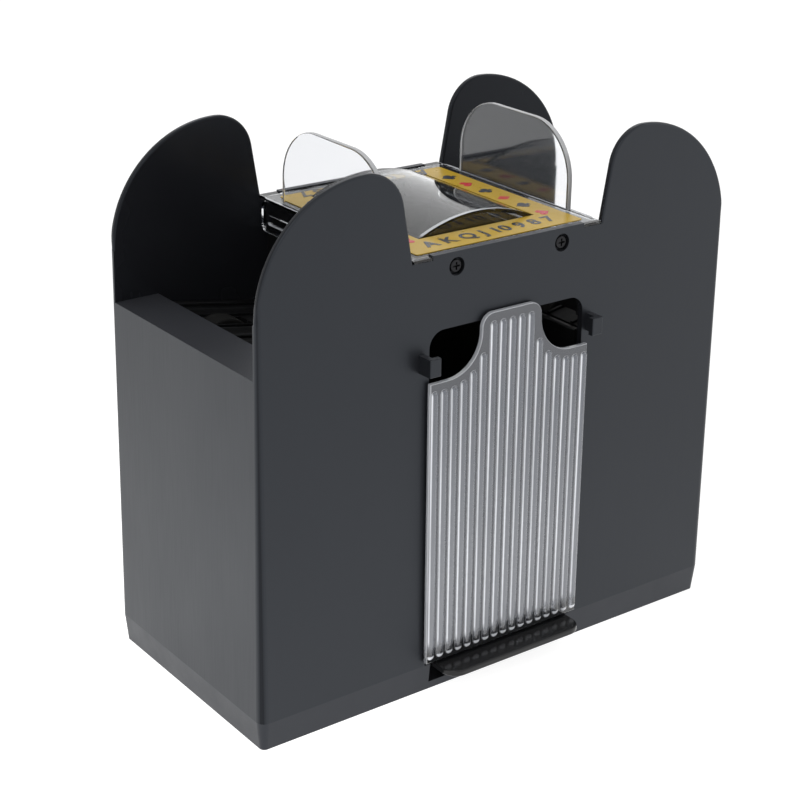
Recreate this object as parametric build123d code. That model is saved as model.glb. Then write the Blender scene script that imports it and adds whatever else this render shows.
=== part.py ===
from build123d import *
import math
import os

os.makedirs("parts", exist_ok=True)

# ---------------------------------------------------------------------------
# Driving dimensions, in millimetres and degrees.
# X runs along the machine, Y from front (-) to back (+), Z is up.
# The origin is the middle of the footprint, on the resting plane.
# ---------------------------------------------------------------------------
WIDTH = 206.0             # housing at its seam with the base
DEPTH = 97.0
HEIGHT = 195.0            # top of the four ears
WALL = 2.4
DRAFT = 0.6               # the housing leans in by this much all round
CORNER = 1.2              # vertical corner radius at the top, growing downwards

SEAM_Z = 10.75            # housing meets base tray
SKIRT_TUCK = 1.1          # the skirt is narrower at the table by this much a side
BASE_FLOOR_TOP = 3.0

SILL_Z = 134.3            # top of the side walls, where cards are loaded
SILL_INNER_X = 84.4       # the sill's inner edge
EAR_CENTRE_X = 59.4
EAR_OUTER_RADIUS = 42.1
EAR_INNER_RADIUS = 14.9
EAR_LEAN = 10.0           # slope of the notch side of each ear

NOTCH_Z = 163.6           # wall top between the ears
TAB_RECESS_DEPTH = 1.6    # the cover's corner tabs drop in this far
TAB_RECESS_INNER_X = 33.0

DOORWAY_HALF = 34.0       # front opening of the card chamber
DOORWAY_TOP_Z = 137.2
DOORWAY_RADIUS = 6.0

CHAMBER_HALF = 35.0       # inside of the card chamber
CHAMBER_WALL = 2.0
CHAMBER_WALL_TOP_Z = 122.6

FLOOR_SLOPE = 10.0        # the hopper floors fall towards the chamber
FLOOR_INNER_X = 37.4
FLOOR_OUTER_X = 84.2
FLOOR_RIB_Z = 123.9       # top of the ribs at the inner end of the floor
FLOOR_RIB_HEIGHT = 0.8
FLOOR_THICKNESS = 2.4

ROLLER_RADIUS = 12.0
ROLLER_WIDTH = 8.0
ROLLER_Y = 19.0           # each shaft carries two rollers, at plus and minus this
ROLLER_HUB_RADIUS = 8.5
ROLLER_PROUD = 1.2        # how far the tyres stand above the ribs
SHAFT_RADIUS = 2.0
RUNNING_GAP = 0.05        # radial gap of a shaft in its bush
FEED_X = 49.0

GEAR_MODULE = 0.8
PRESSURE_ANGLE = 20.0
GEAR_BACKLASH = 0.24      # taken off the tooth pair, half from each gear
ROLLER_TEETH = 17
IDLER_TEETH = 16
COMPOUND_SMALL_TEETH = 16
COMPOUND_LARGE_TEETH = 42
PINION_TEETH = 14
GEAR_WIDTH = 4.0

GEAR_PLATE_Y = 28.6       # front face of the rear frame plate
PLATE_THICKNESS = 2.4
GEAR_LAYER_Y = 32.0       # front face of the roller gears
REDUCTION_LAYER_Y = 36.8  # front face of the large reduction gear

MOTOR_RADIUS = 12.1
MOTOR_LENGTH = 30.0
MOTOR_SHAFT_RADIUS = 1.0
MOTOR_NOSE_RADIUS = 3.2
MOTOR_FLAT_Z = 9.2        # half the height across the can's flats
MOTOR_SCREW_X = 8.0
MOTOR_SCREW_RADIUS = 0.9
MOTOR_SCREW_HEAD_RADIUS = 1.9

CELL_RADIUS = 13.1        # C size cell
CELL_LENGTH = 49.0
CELL_PITCH = 26.6

COVER_HALF_X = 41.6
COVER_HALF_Y = 44.0       # the plate lies between the front and back walls
COVER_TOP_Z = 163.1
COVER_THICKNESS = 1.5
COVER_CORNER = 4.0
WINDOW_HALF_X = 25.2      # vaulted window in the cover, closed by a wall at each end
WINDOW_FRONT_Y = -28.6
WINDOW_BACK_Y = 34.0
WINDOW_RISE = 5.9
GUIDE_OUTER_X = 41.0      # clear fins on the cover
GUIDE_HALF_Y = 31.0
GUIDE_TOP_Z = 193.1
GUIDE_RADIUS = 20.0
GUIDE_THICKNESS = 2.2
GUIDE_RIM_ROUND = 0.7

DOOR_HALF = 35.0
DOOR_BOTTOM_Z = 12.6
DOOR_SHOULDER_Z = 119.5
DOOR_TOP_Z = 140.0
DOOR_NECK_HALF = 13.2
DOOR_SCOOP_RADIUS = 14.3
DOOR_STANDOFF = 0.8       # gap between the wall and the back of the door
DOOR_THICKNESS = 1.6
DOOR_EDGE_ROUND = 0.5
DOOR_RIB_COUNT = 17
DOOR_RIB_PITCH = 4.17
DOOR_RIB_WIDTH = 3.4
DOOR_RIB_HEIGHT = 0.9
DOOR_RIB_CLEARANCE = 2.3  # from the rib ends to the shoulders and scoops

PRESS_BAR_TOP_Z = 12.0
PRESS_BAR_THICKNESS = 2.4
PRESS_BAR_HALF = 31.0
PRESS_BAR_REACH = 12.0    # how far it stands out from the front wall
PRESS_BAR_CORNER = 6.0


def lean_in(z):
    """How far the drafted housing has come in at height z, on each side."""
    return (z - SEAM_Z) * math.tan(math.radians(DRAFT))


def front_y(z):
    """Y of the outside of the front wall at height z."""
    return -DEPTH / 2 + lean_in(z)


def drafted_block(width, depth, low_z, high_z, corner=CORNER):
    """Rounded block that follows the housing's draft between two heights.

    Width and depth are the sizes at the seam. The corner radius is at the top.
    """
    top = RectangleRounded(width - 2 * lean_in(high_z), depth - 2 * lean_in(high_z), corner)
    return extrude(Pos(0, 0, high_z) * top, amount=low_z - high_z, taper=-DRAFT)


def box_between(low, high):
    """Box from its lowest corner to its highest corner."""
    size = [high[axis] - low[axis] for axis in range(3)]
    middle = [(high[axis] + low[axis]) / 2 for axis in range(3)]
    return Pos(*middle) * Box(*size)


def rod_y(x, z, radius, y_from, y_to):
    """Cylinder whose axis runs along Y."""
    return Pos(x, (y_from + y_to) / 2, z) * Rot(90, 0, 0) * Cylinder(radius, y_to - y_from)


def rod_z(x, y, radius, z_from, z_to):
    """Upright cylinder."""
    return Pos(x, y, (z_from + z_to) / 2) * Cylinder(radius, z_to - z_from)


def both_sides(shape):
    """The shape and its mirror image on the left."""
    return [shape, mirror(shape, about=Plane.YZ)]


def slab_xz(face, y_from, y_to):
    """Extrude a face drawn as (x, z) along Y."""
    plane = Plane(origin=(0, y_to, 0), x_dir=(1, 0, 0), z_dir=(0, -1, 0))
    return extrude(plane * face, amount=y_to - y_from)


def slab_yz(face, x_from, x_to):
    """Extrude a face drawn as (y, z) along X."""
    plane = Plane(origin=(x_from, 0, 0), x_dir=(0, 1, 0), z_dir=(1, 0, 0))
    return extrude(plane * face, amount=x_to - x_from)


def write(name, shape):
    """Write one node, made of one solid or a group of separate solids."""
    shape.label = name
    export_step(shape, f"parts/{name}.step")


def write_group(name, shapes):
    """Write identical or matching pieces as separate solids of one node."""
    solids = [solid for shape in shapes for solid in shape.solids()]
    write(name, Compound(label=name, children=solids))


def write_pair(name, shape):
    """Write a right-hand piece and its mirror image for the left."""
    write(f"right_{name}", shape)
    write(f"left_{name}", mirror(shape, about=Plane.YZ))


# Sketch plane on the outside of the drafted front wall: local x across,
# local y up the face from the seam, local z outwards.
_lean = math.radians(DRAFT)
FRONT = Plane(
    origin=(0, -DEPTH / 2, SEAM_Z),
    x_dir=(1, 0, 0),
    z_dir=(0, -math.cos(_lean), math.sin(_lean)),
)


# ---------------------------------------------------------------------------
# Hopper floor line. Everything that feeds cards is laid out from it.
# ---------------------------------------------------------------------------
SLOPE = math.radians(FLOOR_SLOPE)


def rib_line_z(x):
    """Height of the rib tops at a distance x from the middle."""
    return FLOOR_RIB_Z + (x - FLOOR_INNER_X) * math.tan(SLOPE)


def floor_top_z(x):
    """Height of the floor between its ribs."""
    return rib_line_z(x) - FLOOR_RIB_HEIGHT / math.cos(SLOPE)


def floor_under_z(x):
    """Height of the floor's underside."""
    return floor_top_z(x) - FLOOR_THICKNESS / math.cos(SLOPE)


ROLLER_GEAR_RADIUS = GEAR_MODULE * ROLLER_TEETH / 2
IDLER_GEAR_RADIUS = GEAR_MODULE * IDLER_TEETH / 2
MESH_STEP = ROLLER_GEAR_RADIUS + IDLER_GEAR_RADIUS

FEED_Z = rib_line_z(FEED_X) - (ROLLER_RADIUS - ROLLER_PROUD) / math.cos(SLOPE)
IDLER_X = FEED_X + MESH_STEP * math.cos(SLOPE)
IDLER_Z = FEED_Z + MESH_STEP * math.sin(SLOPE)
PICKUP_X = FEED_X + 2 * MESH_STEP * math.cos(SLOPE)
PICKUP_Z = FEED_Z + 2 * MESH_STEP * math.sin(SLOPE)

# The compound gear hangs below the feed gear, and the motor below it again.
COMPOUND_ANGLE = -60.0
MOTOR_ANGLE = -48.0
COMPOUND_STEP = GEAR_MODULE * (COMPOUND_SMALL_TEETH + ROLLER_TEETH) / 2
MOTOR_STEP = GEAR_MODULE * (COMPOUND_LARGE_TEETH + PINION_TEETH) / 2
COMPOUND_X = FEED_X + COMPOUND_STEP * math.cos(math.radians(COMPOUND_ANGLE))
COMPOUND_Z = FEED_Z + COMPOUND_STEP * math.sin(math.radians(COMPOUND_ANGLE))
MOTOR_X = COMPOUND_X + MOTOR_STEP * math.cos(math.radians(MOTOR_ANGLE))
MOTOR_Z = COMPOUND_Z + MOTOR_STEP * math.sin(math.radians(MOTOR_ANGLE))


# ---------------------------------------------------------------------------
# Housing
# ---------------------------------------------------------------------------
HOOK_Z = 126.8
HOOK_HEIGHT = 6.4
HOOK_TIP_X = 33.6
HOOK_OUTER_X = 38.2
HOOK_ARM = 2.2
HOOK_REACH = 6.3
SCREW_X = 23.0
SCREW_Z = 158.3
SCREW_HEAD_RADIUS = 2.3
SCREW_WELL_RADIUS = 3.2   # counterbore for the head
SCREW_WELL_DEPTH = 1.6
SCREW_HOLE_RADIUS = 1.6
SCREW_SHANK_RADIUS = 1.0
RIM_ROUND = 0.8           # rounded outer rim of the ears
BOSS_X = 96.6
BOSS_Y = 42.2
BOSS_RADIUS = 4.0
BASE_SCREW_RADIUS = 1.2
BASE_SCREW_HEAD_RADIUS = 3.0
BASE_SCREW_SEAT_Z = 4.6


def notch_face():
    """Gap between two ears, drawn as (x, z), open at the top."""
    floor_z = NOTCH_Z - TAB_RECESS_DEPTH
    lean = math.radians(EAR_LEAN)
    arc_z = HEIGHT - EAR_INNER_RADIUS
    tangent_x = EAR_CENTRE_X - EAR_INNER_RADIUS * math.cos(lean)
    tangent_z = arc_z + EAR_INNER_RADIUS * math.sin(lean)
    floor_x = tangent_x - (tangent_z - floor_z) * math.tan(lean)
    above = HEIGHT + 5
    side = Line((floor_x, floor_z), (tangent_x, tangent_z))
    crown = JernArc(start=side @ 1, tangent=side % 1, radius=EAR_INNER_RADIUS, arc_size=EAR_LEAN - 90)
    edge = [side, crown, Line(crown @ 1, (EAR_CENTRE_X, above))]
    edge += [mirror(piece, about=Plane.YZ) for piece in edge]
    edge += [Line((EAR_CENTRE_X, above), (-EAR_CENTRE_X, above)), Line((-floor_x, floor_z), (floor_x, floor_z))]
    return make_face(edge)


def guide_hook():
    """L-shaped guide on the front wall, to the right of the opening."""
    low = HOOK_Z - HOOK_HEIGHT / 2 - SEAM_Z
    high = HOOK_Z + HOOK_HEIGHT / 2 - SEAM_Z
    arm = box_between((HOOK_OUTER_X - HOOK_ARM, low, -1), (HOOK_OUTER_X, high, HOOK_REACH))
    tip = box_between((HOOK_TIP_X, low, HOOK_REACH - HOOK_ARM), (HOOK_OUTER_X, high, HOOK_REACH))
    hook = arm + tip
    hook = fillet(hook.edges().group_by(Axis.Z)[-1], 0.4)
    return FRONT * hook


def hopper_ledges():
    """Sloping ledges on the front and back walls that carry a hopper floor."""
    points = [
        (FLOOR_INNER_X + 2, floor_under_z(FLOOR_INNER_X + 2)),
        (FLOOR_OUTER_X - 2, floor_under_z(FLOOR_OUTER_X - 2)),
        (FLOOR_OUTER_X - 2, floor_under_z(FLOOR_OUTER_X - 2) - 3),
        (FLOOR_INNER_X + 2, floor_under_z(FLOOR_INNER_X + 2) - 3),
    ]
    strip = make_face(Polyline(*points, close=True))
    ledges = []
    for y_from, y_to in ((-47, -43.2), (43.2, 47)):
        ledges.append(slab_xz(strip, y_from, y_to))
    return ledges


def ear_rims(housing):
    """Edges of the ears, on the outer and inner faces of the front and back walls."""
    rims = []
    for edge in housing.edges():
        ends = [edge @ 0, edge @ 0.5, edge @ 1]
        depths = [DEPTH / 2 - lean_in(point.Z) - abs(point.Y) for point in ends]
        on_face = any(max(abs(depth - level) for depth in depths) < 0.02 for level in (0, WALL))
        if on_face and max(point.Z for point in ends) > NOTCH_Z + 1 and min(point.Z for point in ends) > SILL_Z + 5:
            rims.append(edge)
    return rims


def make_housing():
    outer = drafted_block(WIDTH, DEPTH, SEAM_Z, HEIGHT)
    cavity = drafted_block(WIDTH - 2 * WALL, DEPTH - 2 * WALL, SEAM_Z - 1, HEIGHT + 1, 0.3)
    sills = []
    for sign in (-1, 1):
        shelf_x = sorted((sign * SILL_INNER_X, sign * (WIDTH / 2 + 5)))
        lip_x = sorted((sign * SILL_INNER_X, sign * (SILL_INNER_X + 1.6)))
        sills.append(box_between((shelf_x[0], -60, SILL_Z - WALL), (shelf_x[1], 60, SILL_Z)))
        sills.append(box_between((lip_x[0], -60, SILL_Z - 6), (lip_x[1], 60, SILL_Z)))
    housing = outer - (cavity - sills)

    # Loading openings: the side walls stop at the sill, between front and back walls.
    bay = drafted_block(WIDTH + 40, DEPTH - 2 * WALL, SILL_Z, HEIGHT + 1, 0.3)
    housing = housing - bay

    # Notches front and back, with a raised middle that carries the cover.
    notch = slab_xz(notch_face(), -60, 60)
    raised = box_between(
        (-TAB_RECESS_INNER_X, -60, NOTCH_Z - TAB_RECESS_DEPTH - 1),
        (TAB_RECESS_INNER_X, 60, NOTCH_Z),
    )
    housing = housing - (notch - raised)

    # Rounded outer corners of the ears.
    for sign in (-1, 1):
        corner_z = HEIGHT - EAR_OUTER_RADIUS
        corner_x = sorted((sign * EAR_CENTRE_X, sign * (WIDTH / 2 + 5)))
        blank = box_between((corner_x[0], -60, corner_z), (corner_x[1], 60, HEIGHT + 5))
        crown = rod_y(sign * EAR_CENTRE_X, corner_z, EAR_OUTER_RADIUS, -70, 70)
        housing = housing - (blank - crown)
    housing = fillet(ear_rims(housing), RIM_ROUND)

    # Front opening of the chamber.
    doorway_low = SEAM_Z - 2
    doorway = RectangleRounded(2 * DOORWAY_HALF, 2 * (DOORWAY_TOP_Z - doorway_low), DOORWAY_RADIUS)
    doorway = slab_xz(Pos(0, doorway_low) * doorway, -60, -30)
    housing = housing - doorway

    # Counterbored screw holes through the front and back walls for the gate frame.
    well_y = DEPTH / 2 - lean_in(SCREW_Z) - SCREW_WELL_DEPTH
    for x in (-SCREW_X, SCREW_X):
        housing = housing - rod_y(x, SCREW_Z, SCREW_HOLE_RADIUS, -60, 60)
        housing = housing - rod_y(x, SCREW_Z, SCREW_WELL_RADIUS, well_y, 60)
        housing = housing - rod_y(x, SCREW_Z, SCREW_WELL_RADIUS, -60, -well_y)

    # Screw bosses in the four corners, open at the bottom.
    for x in (-BOSS_X, BOSS_X):
        for y in (-BOSS_Y, BOSS_Y):
            boss = rod_z(x, y, BOSS_RADIUS, SEAM_Z + 3, SILL_Z - 1)
            within = drafted_block(WIDTH - WALL, DEPTH - WALL, SEAM_Z, SILL_Z, 0.3)
            housing = housing + (boss & within) - rod_z(x, y, BASE_SCREW_RADIUS, SEAM_Z, SEAM_Z + 25)

    # Ledges for the hopper floors, then the guide hooks on the front.
    within = drafted_block(WIDTH - WALL, DEPTH - WALL, SEAM_Z, HEIGHT, 0.3)
    for ledge in hopper_ledges():
        for side in both_sides(ledge & within):
            housing = housing + side
    for hook in both_sides(guide_hook()):
        housing = housing + hook
    return housing


# ---------------------------------------------------------------------------
# Base tray, feet and battery door
# ---------------------------------------------------------------------------
CELL_GROUP_X = -69.0      # middle of the four cells, in the left column
BAY_HALF = 28.0           # battery bay opening in the base, square
DOOR_LIP = 2.0            # the battery door laps the opening by this much
BATTERY_DOOR_TRAVEL = 6.0
BATTERY_DOOR_TOP_Z = 1.4
FOOT_X = 86.0
FOOT_Y = 38.0
FOOT_RADIUS = 5.5
FOOT_SINK = 1.0           # the pads lie in recesses, pressed flush by the weight
PRESS_SLOT_HALF = 31.5
GUIDE_POST_X = 24.0
GUIDE_POST_Y = -38.0
GUIDE_POST_RADIUS = 1.6


def make_base_tray():
    tuck_angle = math.degrees(math.atan(SKIRT_TUCK / SEAM_Z))
    foot = RectangleRounded(WIDTH - 2 * SKIRT_TUCK, DEPTH - 2 * SKIRT_TUCK, 2)
    tray = extrude(foot, amount=SEAM_Z, taper=-tuck_angle)
    inside = RectangleRounded(WIDTH - 2 * SKIRT_TUCK - 2 * WALL, DEPTH - 2 * SKIRT_TUCK - 2 * WALL, 1)
    tray = tray - extrude(Pos(0, 0, BASE_FLOOR_TOP) * inside, amount=SEAM_Z)

    # Locating lip inside the housing wall, left out at the front slot.
    lip_outer = drafted_block(WIDTH - 2 * WALL - 0.3, DEPTH - 2 * WALL - 0.3, SEAM_Z - 2, SEAM_Z + 3, 2.6)
    lip_inner = drafted_block(WIDTH - 2 * WALL - 2.7, DEPTH - 2 * WALL - 2.7, SEAM_Z - 3, SEAM_Z + 4, 1.4)
    lip = lip_outer - lip_inner
    lip = lip - box_between((-PRESS_SLOT_HALF - 5, -60, 0), (PRESS_SLOT_HALF + 5, 0, 30))
    for x in (-BOSS_X, BOSS_X):
        for y in (-BOSS_Y, BOSS_Y):
            lip = lip - rod_z(x, y, BOSS_RADIUS + 0.3, 0, 30)
    tray = tray + lip

    # Slot for the press bar in the front skirt.
    tray = tray - box_between((-PRESS_SLOT_HALF, -60, BASE_FLOOR_TOP), (PRESS_SLOT_HALF, -44, 30))

    # Screw pillars under the housing bosses.
    for x in (-BOSS_X, BOSS_X):
        for y in (-BOSS_Y, BOSS_Y):
            pillar = rod_z(x, y, BOSS_RADIUS, BASE_FLOOR_TOP - 1, SEAM_Z + 3)
            pillar = pillar - box_between((-WIDTH, -DEPTH, SEAM_Z), (WIDTH, DEPTH, 20))
            tray = tray + (pillar & drafted_block(WIDTH - 2.6, DEPTH - 2.6, 0, 20, 0.3))
            stub = rod_z(x, y, 3.2, SEAM_Z - 1, SEAM_Z + 3)
            tray = tray + (stub & lip_inner)
            tray = tray - rod_z(x, y, BASE_SCREW_RADIUS + 0.5, -1, 20)
            tray = tray - rod_z(x, y, BASE_SCREW_HEAD_RADIUS + 0.4, -1, BASE_SCREW_SEAT_Z)

    # Battery bay opening, with a recess under it for the sliding door.
    tray = tray - box_between(
        (CELL_GROUP_X - BAY_HALF, -BAY_HALF, -1), (CELL_GROUP_X + BAY_HALF, BAY_HALF, 5))
    recess = BAY_HALF + DOOR_LIP + 0.3
    tray = tray - box_between(
        (CELL_GROUP_X - recess, -recess, -1),
        (CELL_GROUP_X + recess + BATTERY_DOOR_TRAVEL, recess, 1.5),
    )

    # Recesses for the stick-on feet.
    for x in (-FOOT_X, FOOT_X):
        for y in (-FOOT_Y, FOOT_Y):
            tray = tray - rod_z(x, y, FOOT_RADIUS + 0.1, -1, FOOT_SINK)

    # Guide posts for the press bar.
    for x in (-GUIDE_POST_X, GUIDE_POST_X):
        tray = tray + rod_z(x, GUIDE_POST_Y, GUIDE_POST_RADIUS, BASE_FLOOR_TOP - 1, 12.6)
    return tray


def make_feet():
    feet = []
    for x in (-FOOT_X, FOOT_X):
        for y in (-FOOT_Y, FOOT_Y):
            feet.append(rod_z(x, y, FOOT_RADIUS, 0, FOOT_SINK))
    return feet


def make_battery_door():
    half = BAY_HALF + DOOR_LIP
    low_z = 0.1
    top_z = BATTERY_DOOR_TOP_Z
    door = box_between((CELL_GROUP_X - half, -half, low_z), (CELL_GROUP_X + half, half, top_z))
    for step in range(5):
        groove_x = CELL_GROUP_X - 20 + 3 * step
        door = door - box_between((groove_x, -9, -1), (groove_x + 1.2, 9, low_z + 0.5))
    return door


def make_base_screws():
    screws = []
    for x in (-BOSS_X, BOSS_X):
        for y in (-BOSS_Y, BOSS_Y):
            head = rod_z(x, y, BASE_SCREW_HEAD_RADIUS, 2.4, BASE_SCREW_SEAT_Z)
            recess = box_between((x - 1.5, y - 0.3, 2), (x + 1.5, y + 0.3, 3.4))
            recess = recess + box_between((x - 0.3, y - 1.5, 2), (x + 0.3, y + 1.5, 3.4))
            screws.append(head - recess + rod_z(x, y, BASE_SCREW_RADIUS, BASE_SCREW_SEAT_Z, SEAM_Z + 13))
    return screws


# ---------------------------------------------------------------------------
# Card chamber, gate frame and hopper floors
# ---------------------------------------------------------------------------
CHAMBER_FRONT_Y = -42.3    # leaves room for the door's lugs behind the front wall
CHAMBER_BACK_Y = 44.3
GATE_LOW_Z = 128.8
PAD_LOW_Z = 125.6          # rubber flaps close most of the gate's gap
GATE_SIDE_TOP_Z = 150.2
GATE_TOP_Z = 161.2
GATE_OUTER_X = 38.6
GATE_WALL = 2.2
GATE_HALF_Y = 46.0
GATE_BOSS_RADIUS = 3.6
GATE_BOSS_LENGTH = 7.0
PAD_TOP_Z = 140.0
PAD_HALF_WIDTH = 5.0
PAD_THICKNESS = 1.4
PLATFORM_TOP_Z = 15.2
PLATFORM_THICKNESS = 2.0
PLATFORM_FRONT_Y = -30.0
PLATFORM_THUMB_RADIUS = 11.0
HOPPER_FLOOR_HALF_Y = 44.6
HOPPER_RIB_HALF_WIDTH = 0.6


def make_chamber_wall():
    """Right-hand wall of the card chamber, standing on the base tray."""
    outer_x = CHAMBER_HALF + CHAMBER_WALL
    wall = box_between(
        (CHAMBER_HALF, CHAMBER_FRONT_Y, BASE_FLOOR_TOP), (outer_x, CHAMBER_BACK_Y, CHAMBER_WALL_TOP_Z))
    # A rolled top edge so that a card's corner can't catch.
    edge = wall.edges().group_by(Axis.Z)[-1].sort_by(Axis.X)[0]
    return fillet(edge, 0.9)


def make_card_platform():
    """Shelf at the bottom of the chamber on which the shuffled cards land."""
    under_z = PLATFORM_TOP_Z - PLATFORM_THICKNESS
    platform = box_between(
        (-CHAMBER_HALF, PLATFORM_FRONT_Y, under_z), (CHAMBER_HALF, CHAMBER_BACK_Y, PLATFORM_TOP_Z))
    platform = platform - rod_z(0, PLATFORM_FRONT_Y, PLATFORM_THUMB_RADIUS, 0, PLATFORM_TOP_Z + 1)
    # Four legs down to the base tray.
    for x in (-CHAMBER_HALF + 3, CHAMBER_HALF - 5):
        for y in (-15, 30):
            platform = platform + box_between((x, y, BASE_FLOOR_TOP), (x + 2, y + 12, under_z))
    return platform


def make_gate_frame():
    """Ring round the top of the chamber. Its side walls stop just above one card's path."""
    frame = box_between((-GATE_OUTER_X, -GATE_HALF_Y, GATE_LOW_Z), (GATE_OUTER_X, GATE_HALF_Y, GATE_TOP_Z))
    inner_x = GATE_OUTER_X - GATE_WALL
    inner_y = GATE_HALF_Y - GATE_WALL
    frame = frame - box_between((-inner_x, -inner_y, 0), (inner_x, inner_y, 200))
    # Sides stay low so that the cover's flanges pass down outside them.
    frame = frame - box_between((-60, -inner_y, GATE_SIDE_TOP_Z), (60, inner_y, 200))
    # The front panel stops above the finger opening.
    frame = frame - box_between((-DOORWAY_HALF, -60, 0), (DOORWAY_HALF, 0, DOORWAY_TOP_Z + 1.5))
    for x in (-SCREW_X, SCREW_X):
        for sign in (-1, 1):
            boss_y = sorted((sign * GATE_HALF_Y, sign * (GATE_HALF_Y - GATE_BOSS_LENGTH)))
            frame = frame + rod_y(x, SCREW_Z - 1, GATE_BOSS_RADIUS, boss_y[0], boss_y[1])
    for x in (-SCREW_X, SCREW_X):
        frame = frame - rod_y(x, SCREW_Z, SCREW_SHANK_RADIUS, -60, 60)
    trim = drafted_block(WIDTH, DEPTH - 2 * WALL - 0.1, SEAM_Z, HEIGHT, 0.3)
    return frame & trim


def make_separator_pads():
    """Rubber flaps on the gate that hold back all but the lowest card."""
    pads = []
    for y in (-ROLLER_Y, ROLLER_Y):
        low = (GATE_OUTER_X, y - PAD_HALF_WIDTH, PAD_LOW_Z)
        high = (GATE_OUTER_X + PAD_THICKNESS, y + PAD_HALF_WIDTH, PAD_TOP_Z)
        pad = box_between(low, high)
        pads += both_sides(pad)
    return pads


def make_gate_screws():
    """Pan-head screws with a cross recess, sunk in the front and back walls."""
    seat_y = DEPTH / 2 - lean_in(SCREW_Z) - SCREW_WELL_DEPTH
    top_y = seat_y + SCREW_WELL_DEPTH - 0.3
    arm = 1.4
    half_slot = 0.32
    screws = []
    for x in (-SCREW_X, SCREW_X):
        head = rod_y(x, SCREW_Z, SCREW_HEAD_RADIUS, seat_y, top_y)
        rim = head.edges().sort_by(Axis.Y)[-1]
        head = fillet(rim, 0.6)
        for wide, tall in ((arm, half_slot), (half_slot, arm)):
            head = head - box_between((x - wide, top_y - 0.8, SCREW_Z - tall), (x + wide, top_y + 1, SCREW_Z + tall))
        screw = head + rod_y(x, SCREW_Z, SCREW_SHANK_RADIUS, seat_y - 7.0, seat_y)
        screws += [screw, Rot(0, 0, 180) * screw]
    return screws


def make_hopper_floor():
    """Right-hand hopper floor: sloping, ribbed along X, slotted for the rollers."""
    profile = [
        (FLOOR_INNER_X, floor_under_z(FLOOR_INNER_X)),
        (FLOOR_OUTER_X, floor_under_z(FLOOR_OUTER_X)),
        (FLOOR_OUTER_X, floor_top_z(FLOOR_OUTER_X)),
        (FLOOR_INNER_X, floor_top_z(FLOOR_INNER_X)),
    ]
    outline = make_face(Polyline(*profile, close=True))
    floor = slab_xz(outline, -HOPPER_FLOOR_HALF_Y, HOPPER_FLOOR_HALF_Y)
    rib = [
        (FLOOR_INNER_X, floor_top_z(FLOOR_INNER_X) - 0.5),
        (FLOOR_OUTER_X, floor_top_z(FLOOR_OUTER_X) - 0.5),
        (FLOOR_OUTER_X, rib_line_z(FLOOR_OUTER_X)),
        (FLOOR_INNER_X, rib_line_z(FLOOR_INNER_X)),
    ]
    rib_face = make_face(Polyline(*rib, close=True))
    rib_pitch = 2 * ROLLER_Y / 3
    for index in range(-3, 4):
        middle = index * rib_pitch
        floor = floor + slab_xz(rib_face, middle - HOPPER_RIB_HALF_WIDTH, middle + HOPPER_RIB_HALF_WIDTH)
    for x in (FEED_X, PICKUP_X):
        for y in (-ROLLER_Y, ROLLER_Y):
            half = ROLLER_WIDTH / 2 + 0.7
            slot_from = x - ROLLER_RADIUS + 0.6
            slot_to = x + ROLLER_RADIUS - 3.7
            floor = floor - box_between((slot_from, y - half, 100), (slot_to, y + half, 150))
    return floor


# ---------------------------------------------------------------------------
# Gears
# ---------------------------------------------------------------------------
def involute_point(base_radius, radius, offset):
    """Point at a radius on an involute that leaves the base circle at an angle."""
    roll = math.sqrt(max((radius / base_radius) ** 2 - 1, 0))
    angle = offset + roll - math.atan(roll)
    return (radius * math.cos(angle), radius * math.sin(angle))


def gear_face(teeth, first_tooth=0.0):
    """Stub-tooth involute gear, with the middle of one tooth at an angle in degrees."""
    pitch_radius = GEAR_MODULE * teeth / 2
    tip_radius = pitch_radius + 0.8 * GEAR_MODULE
    root_radius = pitch_radius - 1.1 * GEAR_MODULE
    base_radius = pitch_radius * math.cos(math.radians(PRESSURE_ANGLE))
    start_radius = max(base_radius, root_radius)
    spread = math.tan(math.radians(PRESSURE_ANGLE)) - math.radians(PRESSURE_ANGLE)
    half_tooth = (math.pi * GEAR_MODULE / 2 - GEAR_BACKLASH / 2) / (2 * pitch_radius)

    edges = []
    step = 2 * math.pi / teeth
    for index in range(teeth):
        middle = math.radians(first_tooth) + index * step
        rising = middle - half_tooth - spread
        falling = middle + half_tooth + spread
        radii = [start_radius + (tip_radius - start_radius) * k / 4 for k in range(5)]
        left = [involute_point(base_radius, radius, rising) for radius in radii]
        right = []
        for radius in radii:
            x, y = involute_point(base_radius, radius, 0)
            angle = falling - math.atan2(y, x)
            right.append((radius * math.cos(angle), radius * math.sin(angle)))
        tip_middle = (tip_radius * math.cos(middle), tip_radius * math.sin(middle))
        root_left = (root_radius * math.cos(rising), root_radius * math.sin(rising))
        root_right = (root_radius * math.cos(falling), root_radius * math.sin(falling))
        gap_middle = middle + step / 2
        root_gap = (root_radius * math.cos(gap_middle), root_radius * math.sin(gap_middle))
        next_rising = rising + step
        next_root = (root_radius * math.cos(next_rising), root_radius * math.sin(next_rising))
        edges.append(Line(root_left, left[0]))
        edges.append(Spline(*left))
        edges.append(ThreePointArc(left[-1], tip_middle, right[-1]))
        edges.append(Spline(*reversed(right)))
        edges.append(Line(right[0], root_right))
        edges.append(ThreePointArc(root_right, root_gap, next_root))
    return make_face(edges)


def gear(x, z, teeth, y_from, first_tooth, bore_radius):
    """Gear with its axis along Y. Angles are measured from +X towards +Z."""
    blank = slab_xz(gear_face(teeth, first_tooth), 0, GEAR_WIDTH)
    placed = Pos(x, y_from, z) * blank
    return placed - rod_y(x, z, bore_radius, y_from - 1, y_from + GEAR_WIDTH + 1)


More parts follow.
